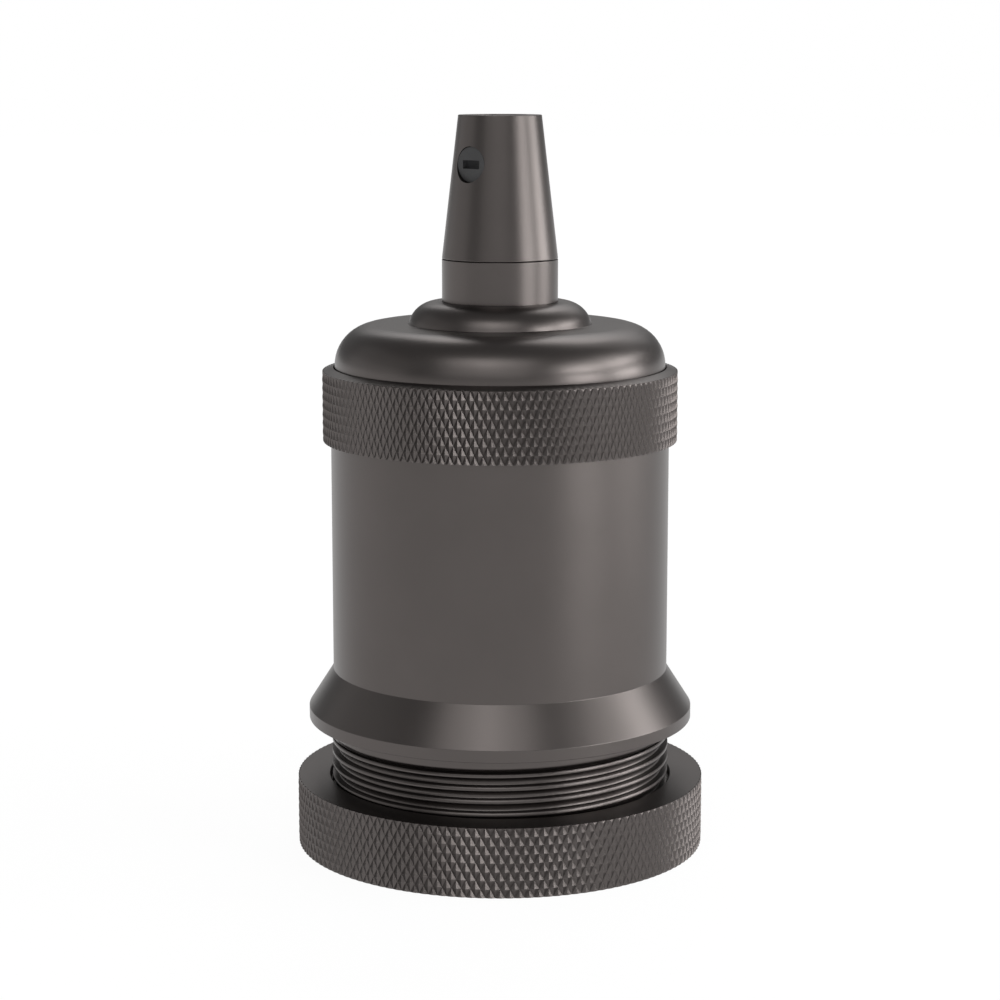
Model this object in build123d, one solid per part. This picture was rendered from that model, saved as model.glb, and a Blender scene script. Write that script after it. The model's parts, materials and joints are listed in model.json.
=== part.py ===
from build123d import *
import math
import os

# Lamp holder with a lower shade ring, a plain sleeve, a domed cap and a conical cord grip.
# Millimetres. Z is the axis of the holder, up towards the cord. The shade ring stands on z = 0,
# and -Y is the front, where the lamp's centre contact strip is riveted.

# Clearances and small features
run_gap = 0.05            # radial gap of a thread or of a turning fit
loose_gap = 0.10          # radial gap of a clearance hole
seat_gap = 0.35           # room under and over the sprung contact strip
edge_break = 0.18         # chamfer on the ends of a knurled band
fine_break = 0.10         # chamfer on a turned edge
head_break = 0.20         # chamfer on a screw's head or tip
overcut = 1.0             # how far a cutting shape runs past the face it opens

# Knurl: sharp four-sided pyramids on upright rhombs
knurl_count = 138         # pyramids around a band
knurl_half_rows = 8       # half rows of pyramids up a band
knurl_depth = 0.42

# Lower thread of the sleeve, which takes the shade ring
thread_radius = 19.9
thread_pitch = 1.5
thread_crest = 0.50       # height of the flat crest
thread_upper_flank = 0.06
thread_lower_flank = 0.22
thread_depth = 0.70
thread_plain_end = 0.50    # plain height under the lowest ridge

# Shade ring
shade_ring_wall = 4.1      # from the thread's crests to the knurl's tips
shade_ring_radius = thread_radius + shade_ring_wall
shade_ring_height = 8.0
shade_ring_mouth_gap = 0.25     # radial room around the thread at the ring's mouth
shade_ring_mouth_depth = 1.0
shade_ring_mouth_chamfer = 0.10

# Sleeve and its flange
sleeve_radius = 19.67
sleeve_bore_radius = 18.1
sleeve_top = 54.4
collar_low = 13.34         # lower end of the plain collar under the flange
collar_radius = 20.0
flange_rim_radius = 22.55
flange_rim_low = 15.03
flange_rim_high = 16.42
flange_cone_top = 20.90
relief_height = 0.27      # plain groove between the thread and the collar

# Cap ring, which pulls the cap down on the sleeve
cap_ring_wall = 0.96       # from the sleeve's thread to the knurl's tips
cap_ring_radius = sleeve_radius + cap_ring_wall
cap_ring_bottom = 47.9
cap_ring_knurl_height = 8.1
cap_ring_crown = 0.42     # rise of the coned top face
cap_thread_depth = 0.40
cap_thread_length = 6.0

# Domed cap
cap_radius = 19.17
cap_flange_radius = 19.6
cap_flange_height = 0.8
cap_wall = 1.3
cap_shoulder_top = 61.34
cap_shoulder_round = 4.75
cap_step_top = 63.93
cap_step_radius = 10.68
cap_step_round = 3.28

# Threaded tube through the cap
tube_radius = 5.0
tube_bore_radius = 3.6
tube_bottom = 55.7
tube_top = 75.0
tube_end_chamfer = 0.4
bush_flange_radius = 4.9
bush_flange_height = 0.8
bush_neck_height = 3.0
bush_bore_radius = 2.9

# Neck spacer and cord grip cone
neck_radius = 6.7
neck_height = 4.88
neck_seam = 0.05
cone_top_radius = 4.79
cone_height = 16.37
cone_bore_radius = 3.2
cone_socket_depth = 7.3

# Clamp screw in the cone
clamp_screw_radius = 2.0
clamp_screw_height = 79.7
clamp_screw_turn = 41.0         # degrees from the front towards -X
clamp_screw_face = 5.0          # distance of the outer face from the axis
clamp_slot_length = 2.45
clamp_slot_width = 0.95
clamp_slot_depth = 0.80

# Washer, bracket and nut under the cap
washer_radius = 7.3
washer_height = 0.9
washer_teeth = 12
washer_notch = 0.9
bracket_thickness = 1.0
bracket_width = 8.0
bracket_half_span = 8.1
bracket_plate_radius = 7.0
bracket_foot_reach = 14.0
nut_across_flats = 13.0
nut_height = 3.0
nut_corner_cut = 0.7        # how far the corners are turned off at the faces
nut_corner_drop = 0.4

# Porcelain body
porcelain_radius = 17.0
porcelain_bottom = 3.5
porcelain_web_bottom = 29.5
porcelain_web_top = 34.6
porcelain_head_radius = 15.5
porcelain_top = 42.4
porcelain_round = 0.8
screw_hole_floor = 1.0         # from the web's top to the end of a bracket screw's hole
trench_half_width = 5.0
trench_barrier = 1.5            # half thickness of the wall between the terminals

# Lamp thread shell
shell_inner_radius = 12.4       # crests towards the lamp
shell_wall = 0.30
shell_pitch = 3.629
shell_wave_round = 1.025        # radius of the rolled wave at mid wall
shell_turns = 5
shell_mouth = 6.0
shell_mouth_collar = 1.5
shell_plate_hole = 8.5
shell_gap = 0.40                # radial room between the shell and the porcelain

# Terminals, screws and rivet
terminal_half_width = 3.5
terminal_inner_face = 6.9
terminal_outer_face = 12.9
terminal_height = 6.6
terminal_foot_end = 3.0
terminal_foot_height = 1.0
wire_hole_radius = 1.45
wire_hole_place = 9.2
wire_hole_depth = 4.2
small_screw_radius = 1.5
small_head_radius = 2.6
small_head_height = 1.8
small_slot_width = 0.8
small_slot_depth = 0.8
terminal_screw_stand = 0.3      # how far the terminal screws stand out
terminal_screw_reach = 0.25     # how far they reach into the wire hole's wall
terminal_screw_drop = 2.4       # from the terminal's top to its screw
shell_screw_place = 10.4
shell_screw_length = 7.4
rivet_radius = 1.2
rivet_head_radius = 2.2
rivet_head_height = 0.7
rivet_upset_radius = 1.6        # the closed end on the terminal's foot
rivet_place = 5.2

# Sprung centre contact strip
strip_thickness = 0.5
strip_width = 5.0
strip_tail = 1.8
strip_flat = 2.4
strip_run = 4.6
strip_drop = 2.3
strip_tip_run = 2.2
strip_tip_rise = 0.7
strip_bend = 0.9

# Bracket screws and their square nuts, earth screw and its saddle washer
bracket_screw_place = 11.3
bracket_screw_length = 6.4
square_nut_side = 5.5
square_nut_height = 1.8
square_nut_depth = 2.2
nut_pocket_gap = 0.15
earth_screw_height = 51.0
earth_screw_length = 4.0
saddle_side = 6.0
saddle_thickness = 0.8

neck_bottom = cap_step_top
cone_bottom = neck_bottom + neck_height + neck_seam
cone_top = cone_bottom + cone_height
cap_ceiling = cap_step_top - cap_wall
washer_bottom = cap_ceiling - washer_height
bracket_top = washer_bottom
bracket_underside = bracket_top - bracket_thickness
terminal_top = porcelain_web_top + terminal_height
terminal_screw_level = terminal_top - terminal_screw_drop
strip_level = porcelain_web_bottom - seat_gap - strip_thickness / 2
rivet_head_top = strip_level - strip_thickness / 2 - seat_gap


def turned(*lines):
    """Solid of revolution about Z from a closed outline drawn as (radius, height)."""
    return revolve(Plane.XZ * make_face(Curve() + list(lines)), Axis.Z)


def lathe(*points):
    """Solid of revolution about Z from a closed polygon of (radius, height) points."""
    return turned(Polyline(*points, close=True))


def tube(outer, inner, low, high):
    """Plain ring with square edges."""
    return lathe((inner, low), (outer, low), (outer, high), (inner, high))


def rod(radius, low, high, x=0, y=0):
    """Upright cylinder from one height to another."""
    return Pos(x, y, low) * extrude(Circle(radius), high - low)


def block(x, y, z):
    """Box from pairs of low and high coordinates."""
    size = (x[1] - x[0], y[1] - y[0], z[1] - z[0])
    middle = Pos((x[0] + x[1]) / 2, (y[0] + y[1]) / 2, (z[0] + z[1]) / 2)
    return middle * Box(*size)


def thread_outline(radius, depth, low, high):
    """Points of a ridged wall from low to high: flank, crest, flank and root for each pitch."""
    root = radius - depth
    turns = int((high - low) / thread_pitch)
    start = high - turns * thread_pitch
    points = []
    for turn in range(turns):
        crest_low = start + turn * thread_pitch + thread_lower_flank
        crest_high = crest_low + thread_crest
        points += [
            (root, crest_low - thread_lower_flank),
            (radius, crest_low),
            (radius, crest_high),
            (root, crest_high + thread_upper_flank),
        ]
    return points


def knurled_band(radius, low, high):
    """Solid drum whose wall is rows of sharp pyramids. Valleys and tips alternate on a grid."""
    columns = 2 * knurl_count
    row_height = (high - low) / knurl_half_rows

    def corner(column, row):
        is_tip = (column + row) % 2 == 1
        reach = radius if is_tip else radius - knurl_depth
        turn = 2 * math.pi * (column % columns) / columns
        return Vector(reach * math.cos(turn), reach * math.sin(turn), low + row * row_height)

    def flat(*corners):
        return Face(Wire.make_polygon(list(corners), close=True))

    faces = []
    for row in range(knurl_half_rows):
        for column in range(columns):
            a, b = corner(column, row), corner(column + 1, row)
            c, d = corner(column + 1, row + 1), corner(column, row + 1)
            if (column + row) % 2 == 0:
                faces += [flat(a, b, c), flat(a, c, d)]
            else:
                faces += [flat(a, b, d), flat(b, c, d)]
    for row in (0, knurl_half_rows):
        faces.append(flat(*[corner(column, row) for column in range(columns)]))
    return Solid(Shell(faces))


def band_envelope(radius, low, high):
    """Drum with broken edges, which trims the tips of a knurled band at both ends."""
    return lathe(
        (0, low), (radius - edge_break, low), (radius, low + edge_break),
        (radius, high - edge_break), (radius - edge_break, high), (0, high),
    )


def slotted_head(radius, height, slot_width, slot_depth):
    """Cheese head standing on z = 0 with its slot in the top, along X."""
    head = chamfer(rod(radius, 0, height).edges().sort_by(Axis.Z)[-1], head_break)
    slot = block(
        (-radius - overcut, radius + overcut), (-slot_width / 2, slot_width / 2),
        (height - slot_depth, height + overcut),
    )
    return head - slot


def small_screw(length):
    """Slotted screw with its head's underside on z = 0 and its shank below."""
    head = slotted_head(small_head_radius, small_head_height, small_slot_width, small_slot_depth)
    shank = chamfer(rod(small_screw_radius, -length, 0).edges().sort_by(Axis.Z)[0], head_break)
    return head + shank


def shade_ring():
    """Knurled ring on the lower thread. Its mouth is opened out above the thread."""
    band = knurled_band(shade_ring_radius, 0, shade_ring_height)
    band = band & band_envelope(shade_ring_radius, 0, shade_ring_height)
    bore = thread_radius + run_gap
    mouth = thread_radius + shade_ring_mouth_gap
    mouth_floor = shade_ring_height - shade_ring_mouth_depth
    void = lathe(
        (0, -overcut), (bore + fine_break, -overcut), (bore + fine_break, 0), (bore, fine_break),
        (bore, mouth_floor), (mouth, mouth_floor), (mouth, shade_ring_height - shade_ring_mouth_chamfer),
        (mouth + shade_ring_mouth_chamfer, shade_ring_height),
        (mouth + shade_ring_mouth_chamfer, shade_ring_height + overcut), (0, shade_ring_height + overcut),
    )
    return band - void


def sleeve():
    """Tube with the lower thread, a collar, the coned flange and the upper thread under the cap ring."""
    relief_radius = thread_radius - thread_depth
    thread_top = collar_low - relief_height
    lower = thread_outline(thread_radius, thread_depth, thread_plain_end, thread_top)
    upper_end = sleeve_top - fine_break
    upper = thread_outline(sleeve_radius, cap_thread_depth, sleeve_top - cap_thread_length, upper_end)
    outline = [(sleeve_bore_radius, 0), (relief_radius, 0), (relief_radius, lower[0][1])]
    outline += lower + [(relief_radius, collar_low), (collar_radius, collar_low)]
    outline += [(collar_radius, flange_rim_low), (flange_rim_radius, flange_rim_low)]
    outline += [(flange_rim_radius, flange_rim_high)]
    outline += [(sleeve_radius, flange_cone_top), (sleeve_radius, upper[0][1])]
    outline += upper + [(sleeve_radius - cap_thread_depth, sleeve_top), (sleeve_bore_radius, sleeve_top)]
    tidy = [point for index, point in enumerate(outline) if index == 0 or point != outline[index - 1]]
    return lathe(*tidy)


def cap_ring():
    """Knurled ring with an inner lip at the top, which bears on the cap's flange."""
    knurl_top = cap_ring_bottom + cap_ring_knurl_height
    lip_top = knurl_top + cap_ring_crown
    lip_radius = cap_radius + loose_gap
    bore = sleeve_radius + run_gap
    lip_underside = sleeve_top + cap_flange_height
    band = knurled_band(cap_ring_radius, cap_ring_bottom, knurl_top)
    band = band & band_envelope(cap_ring_radius, cap_ring_bottom, knurl_top)
    crown = lathe(
        (0, knurl_top), (cap_ring_radius - knurl_depth - fine_break, knurl_top),
        (lip_radius + fine_break, lip_top), (0, lip_top),
    )
    void = lathe(
        (0, cap_ring_bottom - overcut), (bore + fine_break, cap_ring_bottom - overcut),
        (bore + fine_break, cap_ring_bottom), (bore, cap_ring_bottom + fine_break), (bore, lip_underside),
        (lip_radius, lip_underside), (lip_radius, lip_top - fine_break), (lip_radius + fine_break, lip_top),
        (lip_radius + fine_break, lip_top + overcut), (0, lip_top + overcut),
    )
    return band + crown - void


def dome_cap():
    """Turned cap: bottom flange, short wall, rounded shoulder and a rounded step with the tube hole."""
    flange_top = sleeve_top + cap_flange_height
    bore = tube_radius + loose_gap
    inner_radius = cap_radius - cap_wall
    shoulder_x = cap_radius - cap_shoulder_round
    shoulder_z = cap_shoulder_top - cap_shoulder_round
    step_x = cap_step_radius - cap_step_round
    step_z = cap_step_top - cap_step_round
    step_foot = step_x + math.sqrt(cap_step_round**2 - (cap_shoulder_top - step_z) ** 2)
    step_angle = math.degrees(math.asin((cap_shoulder_top - step_z) / cap_step_round))
    inner_ceiling = cap_shoulder_top - cap_wall
    outer = Polyline(
        (inner_radius, sleeve_top), (cap_flange_radius, sleeve_top), (cap_flange_radius, flange_top),
        (cap_radius, flange_top), (cap_radius, shoulder_z),
    )
    shoulder = CenterArc((shoulder_x, shoulder_z), cap_shoulder_round, 0, 90)
    shelf = Line((shoulder_x, cap_shoulder_top), (step_foot, cap_shoulder_top))
    step = CenterArc((step_x, step_z), cap_step_round, step_angle, 90 - step_angle)
    crown = Polyline(
        (step_x, cap_step_top), (bore, cap_step_top), (bore, cap_ceiling), (step_x, cap_ceiling),
    )
    inner_step = CenterArc((step_x, step_z), cap_step_round - cap_wall, 0, 90)
    inner_step_radius = cap_step_radius - cap_wall
    inner_shelf = Polyline(
        (inner_step_radius, step_z), (inner_step_radius, inner_ceiling), (shoulder_x, inner_ceiling),
    )
    inner_shoulder = CenterArc((shoulder_x, shoulder_z), cap_shoulder_round - cap_wall, 0, 90)
    wall = Line((inner_radius, shoulder_z), (inner_radius, sleeve_top))
    return turned(outer, shoulder, shelf, step, crown, inner_step, inner_shelf, inner_shoulder, wall)


def neck_spacer():
    """Short ring between the cap and the cone."""
    bore = tube_radius + loose_gap
    top = neck_bottom + neck_height
    return lathe(
        (bore, neck_bottom), (neck_radius - fine_break, neck_bottom), (neck_radius, neck_bottom + fine_break),
        (neck_radius, top - fine_break), (neck_radius - fine_break, top), (bore, top),
    )


def clamp_frame():
    """Plane whose local Z points out of the cone along the clamp screw and whose local X is level."""
    turn = math.radians(clamp_screw_turn)
    outward = Vector(-math.sin(turn), -math.cos(turn), 0)
    level = Vector(math.cos(turn), -math.sin(turn), 0)
    return Plane(origin=(0, 0, clamp_screw_height), x_dir=level, z_dir=outward)


def cord_grip_cone():
    """Cone with a threaded socket for the tube, a cord bore and the clamp screw's hole."""
    socket = tube_radius + run_gap
    socket_top = cone_bottom + cone_socket_depth
    cone = lathe(
        (socket, cone_bottom), (neck_radius - fine_break, cone_bottom),
        (neck_radius, cone_bottom + fine_break), (cone_top_radius, cone_top),
        (cone_bore_radius, cone_top), (cone_bore_radius, socket_top), (socket, socket_top),
    )
    hole = clamp_frame() * rod(clamp_screw_radius + run_gap, 0, 2 * neck_radius)
    return cone - hole


def clamp_screw():
    """Short moulded screw with a blind level slot in its outer face."""
    tip = cone_bore_radius + run_gap
    body = rod(clamp_screw_radius, tip, clamp_screw_face)
    body = chamfer(body.edges().sort_by(Axis.Z)[0], head_break)
    slot = block(
        (-clamp_slot_length / 2, clamp_slot_length / 2), (-clamp_slot_width / 2, clamp_slot_width / 2),
        (clamp_screw_face - clamp_slot_depth, clamp_screw_face + overcut),
    )
    return clamp_frame() * (body - slot)


def threaded_tube():
    """Hollow threaded tube that holds cone, neck, cap, bracket and nut together."""
    return lathe(
        (tube_bore_radius, tube_bottom), (tube_radius - tube_end_chamfer, tube_bottom),
        (tube_radius, tube_bottom + tube_end_chamfer), (tube_radius, tube_top - tube_end_chamfer),
        (tube_radius - tube_end_chamfer, tube_top), (tube_bore_radius, tube_top),
    )


def wire_bush():
    """Moulded bush that guards the wires at the lower end of the tube."""
    neck = tube_bore_radius - run_gap
    low = tube_bottom - bush_flange_height
    high = tube_bottom + bush_neck_height
    return lathe(
        (bush_bore_radius, low), (bush_flange_radius, low), (bush_flange_radius, tube_bottom),
        (neck, tube_bottom), (neck, high), (bush_bore_radius, high),
    )


def toothed_washer():
    """Washer with notches around its rim."""
    ring = tube(washer_radius, tube_radius + loose_gap, washer_bottom, cap_ceiling)
    notch = block(
        (washer_radius - washer_notch, washer_radius + overcut), (-washer_notch / 2, washer_notch / 2),
        (washer_bottom - overcut, cap_ceiling + overcut),
    )
    for index in range(washer_teeth):
        ring -= Rot(0, 0, index * 360 / washer_teeth) * notch
    return ring


def lock_nut():
    """Thin hexagon nut on the tube under the bracket."""
    low = bracket_underside - nut_height
    half = nut_across_flats / 2
    corner = half / math.cos(math.radians(30))
    hexagon = Pos(0, 0, low) * extrude(RegularPolygon(half, 6, major_radius=False, rotation=30), nut_height)
    trim = lathe(
        (0, low), (corner - nut_corner_cut, low), (corner, low + nut_corner_drop),
        (corner, low + nut_height - nut_corner_drop), (corner - nut_corner_cut, low + nut_height),
        (0, low + nut_height),
    )
    return (hexagon & trim) - rod(tube_radius + run_gap, low - overcut, low + nut_height + overcut)


def mounting_bracket():
    """Bent strip: a top plate on the tube, two legs and two feet screwed to the porcelain."""
    middle = bracket_thickness / 2
    leg = bracket_half_span - middle
    foot_level = porcelain_top + middle
    path = FilletPolyline(
        (-bracket_foot_reach, foot_level), (-leg, foot_level), (-leg, bracket_top - middle),
        (leg, bracket_top - middle), (leg, foot_level), (bracket_foot_reach, foot_level),
        radius=bracket_thickness,
    )
    strip = extrude(Plane.XZ * trace(path, bracket_thickness), bracket_width / 2, both=True)
    strip += rod(bracket_plate_radius, bracket_underside, bracket_top)
    strip -= rod(tube_radius + loose_gap, bracket_underside - overcut, bracket_top + overcut)
    foot_low, foot_high = porcelain_top - overcut, porcelain_top + bracket_thickness + overcut
    for side in (-1, 1):
        strip -= rod(small_screw_radius + loose_gap, foot_low, foot_high, side * bracket_screw_place)
    return strip - earth_hole()


def earth_hole():
    """Level cutting cylinder for the earth screw, through the bracket's leg and the saddle washer."""
    hole = Cylinder(small_screw_radius + run_gap, earth_screw_length)
    return Pos(bracket_half_span, 0, earth_screw_height) * Rot(0, 90, 0) * hole


def porcelain_body():
    """Fired body: a lamp chamber below, a web, and a head with two trenches for the terminals."""
    chamber = shell_outer_radius() + shell_gap
    outline = [
        (0, porcelain_web_bottom), (chamber, porcelain_web_bottom), (chamber, porcelain_bottom),
        (porcelain_radius, porcelain_bottom), (porcelain_radius, porcelain_web_top),
        (porcelain_head_radius, porcelain_web_top), (porcelain_head_radius, porcelain_top),
        (0, porcelain_top),
    ]
    body = lathe(*outline)
    rims = body.edges().filter_by(GeomType.CIRCLE)
    mouth_rims = rims.filter_by(lambda edge: edge.center().Z < porcelain_web_bottom - overcut)
    outer_rims = rims.filter_by(lambda edge: edge.radius > porcelain_head_radius + fine_break)
    body = fillet([*mouth_rims, outer_rims.sort_by(Axis.Z)[-1]], porcelain_round)
    reach = porcelain_top + overcut
    for side in (-1, 1):
        near, far = side * trench_barrier, side * (porcelain_radius + overcut)
        span = (min(near, far), max(near, far))
        body -= block((-trench_half_width, trench_half_width), span, (porcelain_web_top, reach))
        hole_low = porcelain_web_top + screw_hole_floor
        body -= rod(small_screw_radius + loose_gap, hole_low, reach, side * bracket_screw_place)
        body -= nut_pocket(side)
    low, high = porcelain_web_bottom - overcut, porcelain_web_top + overcut
    body -= rod(rivet_radius + loose_gap, low, high, 0, -rivet_place)
    body -= rod(small_screw_radius + loose_gap, low, high, 0, shell_screw_place)
    return body


def nut_pocket(side):
    """Slot in the side of the porcelain head that holds a square nut from turning."""
    half = square_nut_side / 2 + nut_pocket_gap
    low = porcelain_top - square_nut_depth - square_nut_height - nut_pocket_gap
    high = porcelain_top - square_nut_depth + nut_pocket_gap
    inner = bracket_screw_place - half
    outer = porcelain_radius + overcut
    span = (inner, outer) if side > 0 else (-outer, -inner)
    return block(span, (-half, half), (low, high))


def bracket_screws():
    """Two screws through the bracket's feet."""
    level = porcelain_top + bracket_thickness
    return [Pos(side * bracket_screw_place, 0, level) * small_screw(bracket_screw_length) for side in (-1, 1)]


def bracket_nuts():
    """Two square nuts in the porcelain head."""
    half = square_nut_side / 2
    high = porcelain_top - square_nut_depth
    low = high - square_nut_height
    nuts = []
    for side in (-1, 1):
        place = side * bracket_screw_place
        nut = block((place - half, place + half), (-half, half), (low, high))
        nuts.append(nut - rod(small_screw_radius + run_gap, low - overcut, high + overcut, place))
    return nuts


def shell_centres():
    """Radii of the two rows of arc centres of the rolled lamp thread."""
    rise = math.sqrt((2 * shell_wave_round) ** 2 - (shell_pitch / 2) ** 2)
    inward = shell_inner_radius + shell_wall / 2 + shell_wave_round
    return inward - rise, inward


def shell_outer_radius():
    """Outer radius of the shell over its outward crests."""
    return shell_centres()[0] + shell_wave_round + shell_wall / 2


def wave(side):
    """One face of the rolled wall: arcs that bulge outwards and inwards in turn, tangent to each other.

    side is +1 for the outer face and -1 for the inner one.
    """
    outward_centre, inward_centre = shell_centres()
    big = shell_wave_round + side * shell_wall / 2
    small = shell_wave_round - side * shell_wall / 2
    share = big / (2 * shell_wave_round)
    touch = outward_centre + share * (inward_centre - outward_centre)
    lift = share * shell_pitch / 2
    start = shell_mouth + shell_mouth_collar
    arcs = []
    for turn in range(shell_turns):
        low = start + turn * shell_pitch
        middle = low + shell_pitch / 2
        high = low + shell_pitch
        first = (outward_centre + big, low)
        last = (outward_centre + big, high)
        arcs.append(crest_arc(outward_centre, low, big, first, (touch, low + lift)))
        arcs.append(ThreePointArc((touch, low + lift), (inward_centre - small, middle), (touch, high - lift)))
        arcs.append(crest_arc(outward_centre, high, big, (touch, high - lift), last))
    return arcs


def crest_arc(centre, level, radius, start, end):
    """Arc about (centre, level) from start to end, through the point midway between them."""
    middle = ((start[0] + end[0]) / 2 - centre, (start[1] + end[1]) / 2 - level)
    share = radius / math.hypot(*middle)
    return ThreePointArc(start, (centre + middle[0] * share, level + middle[1] * share), end)


def screw_shell():
    """Rolled metal shell with ring waves for the lamp's thread and a holed end plate on the web."""
    outer = shell_outer_radius()
    inner = outer - shell_wall
    wave_low = shell_mouth + shell_mouth_collar
    wave_high = wave_low + shell_turns * shell_pitch
    mouth = Polyline((outer, wave_low), (outer, shell_mouth), (inner, shell_mouth), (inner, wave_low))
    plate = Polyline(
        (inner, wave_high), (inner, porcelain_web_bottom - shell_wall),
        (shell_plate_hole, porcelain_web_bottom - shell_wall), (shell_plate_hole, porcelain_web_bottom),
        (outer, porcelain_web_bottom), (outer, wave_high),
    )
    shell = turned(*wave(-1), plate, *wave(1), mouth)
    low, high = porcelain_web_bottom - shell_wall - overcut, porcelain_web_bottom + overcut
    return shell - rod(small_screw_radius + loose_gap, low, high, 0, shell_screw_place)


def terminal(side, with_foot):
    """Pillar terminal with a wire hole from above and a side screw hole. side is -1 at the front."""
    def across(near, far):
        return (min(side * near, side * far), max(side * near, side * far))

    pillar = block(
        (-terminal_half_width, terminal_half_width), across(terminal_inner_face, terminal_outer_face),
        (porcelain_web_top, terminal_top),
    )
    if with_foot:
        foot = block(
            (-terminal_half_width, terminal_half_width), across(terminal_foot_end, terminal_inner_face),
            (porcelain_web_top, porcelain_web_top + terminal_foot_height),
        )
        pillar = pillar + foot
    place = side * wire_hole_place
    pillar -= rod(wire_hole_radius, terminal_top - wire_hole_depth, terminal_top + overcut, 0, place)
    reach = terminal_outer_face - wire_hole_place + overcut
    hole = Rot(90, 0, 0) * rod(small_screw_radius + run_gap, 0, reach)
    if side > 0:
        hole = Rot(0, 0, 180) * hole
    return pillar - Pos(0, place, terminal_screw_level) * hole


def live_terminal():
    """Front terminal, whose foot is riveted to the centre contact."""
    body = terminal(-1, True)
    low, high = porcelain_web_top - overcut, porcelain_web_top + terminal_foot_height + overcut
    return body - rod(rivet_radius + run_gap, low, high, 0, -rivet_place)


def neutral_terminal():
    """Back terminal, held from the lamp side by the shell screw."""
    body = terminal(1, False)
    low = porcelain_web_top - overcut
    high = porcelain_web_bottom - shell_wall + shell_screw_length + run_gap
    return body - rod(small_screw_radius + run_gap, low, high, 0, shell_screw_place)


def terminal_screw(side):
    """Side screw of a terminal, standing a little out of it."""
    underside = terminal_outer_face + terminal_screw_stand
    length = underside - wire_hole_place - wire_hole_radius + terminal_screw_reach
    screw = Rot(90, 0, 0) * Pos(0, 0, underside) * small_screw(length)
    if side > 0:
        screw = Rot(0, 0, 180) * screw
    return Pos(0, 0, terminal_screw_level) * screw


def shell_screw():
    """Screw from the lamp side through the shell's end plate and the web into the neutral terminal."""
    underside = porcelain_web_bottom - shell_wall
    return Pos(0, shell_screw_place, underside) * Rot(180, 0, 0) * small_screw(shell_screw_length)


def live_rivet():
    """Rivet through the contact strip, the web and the live terminal's foot."""
    top = porcelain_web_top + terminal_foot_height
    shank = rod(rivet_radius, rivet_head_top - rivet_head_height, top + rivet_head_height, 0, -rivet_place)
    low_head = rod(rivet_head_radius, rivet_head_top - rivet_head_height, rivet_head_top, 0, -rivet_place)
    high_head = rod(rivet_upset_radius, top, top + rivet_head_height, 0, -rivet_place)
    return shank + low_head + high_head


def centre_contact():
    """Springy strip: flat at the rivet, then sloping down under the lamp and turned up at its tip."""
    bend_at = -rivet_place + strip_flat
    line = FilletPolyline(
        (-rivet_place - strip_tail, strip_level), (bend_at, strip_level),
        (bend_at + strip_run, strip_level - strip_drop),
        (bend_at + strip_run + strip_tip_run, strip_level - strip_drop + strip_tip_rise),
        radius=strip_bend,
    )
    strip = extrude(Plane.YZ * trace(line, strip_thickness), strip_width / 2, both=True)
    return strip - rod(rivet_radius + seat_gap, strip_level - overcut, strip_level + overcut, 0, -rivet_place)


def earth_screw():
    """Screw in the bracket's leg, pointing inwards."""
    face = bracket_half_span + saddle_thickness
    return Pos(face, 0, earth_screw_height) * Rot(0, 90, 0) * small_screw(earth_screw_length)


def earth_washer():
    """Square washer under the earth screw's head."""
    half = saddle_side / 2
    plate = block(
        (bracket_half_span, bracket_half_span + saddle_thickness), (-half, half),
        (earth_screw_height - half, earth_screw_height + half),
    )
    return plate - earth_hole()


def save(name, shape):
    """Write one node. A list is a group of separate solids."""
    solids = shape if isinstance(shape, list) else [shape]
    parts = [solid for item in solids for solid in item.solids()]
    export_step(parts[0] if len(parts) == 1 else Compound(children=parts), f"parts/{name}.step")


os.makedirs("parts", exist_ok=True)
save("shade_ring", shade_ring())
save("sleeve", sleeve())
save("cap_ring", cap_ring())
save("dome_cap", dome_cap())
save("neck_spacer", neck_spacer())
save("cord_grip_cone", cord_grip_cone())
save("clamp_screw", clamp_screw())
save("threaded_tube", threaded_tube())
save("wire_bush", wire_bush())
save("toothed_washer", toothed_washer())
save("lock_nut", lock_nut())
save("mounting_bracket", mounting_bracket())
save("bracket_screws", bracket_screws())
save("bracket_nuts", bracket_nuts())
save("porcelain_body", porcelain_body())
save("screw_shell", screw_shell())
save("shell_screw", shell_screw())
save("neutral_terminal", neutral_terminal())
save("neutral_terminal_screw", terminal_screw(1))
save("live_terminal", live_terminal())
save("live_terminal_screw", terminal_screw(-1))
save("live_rivet", live_rivet())
save("centre_contact", centre_contact())
save("earth_screw", earth_screw())
save("earth_washer", earth_washer())
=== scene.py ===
"""Looks of a pendant lamp holder that stands on its shade ring.

The turned outer pieces are surfaces worked out with numpy: knurled bands, helical threads and
turned outlines with rounded corners. The pieces inside keep the frame's shapes and get their finish.
Sizes of the pieces are millimetres, and meshes and the studio are in metres.
"""

import json
import logging
import math
from dataclasses import dataclass, field
from enum import Enum

import bmesh
import bpy
import numpy as np
from mathutils import Matrix, Vector
from numpy.typing import NDArray


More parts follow.
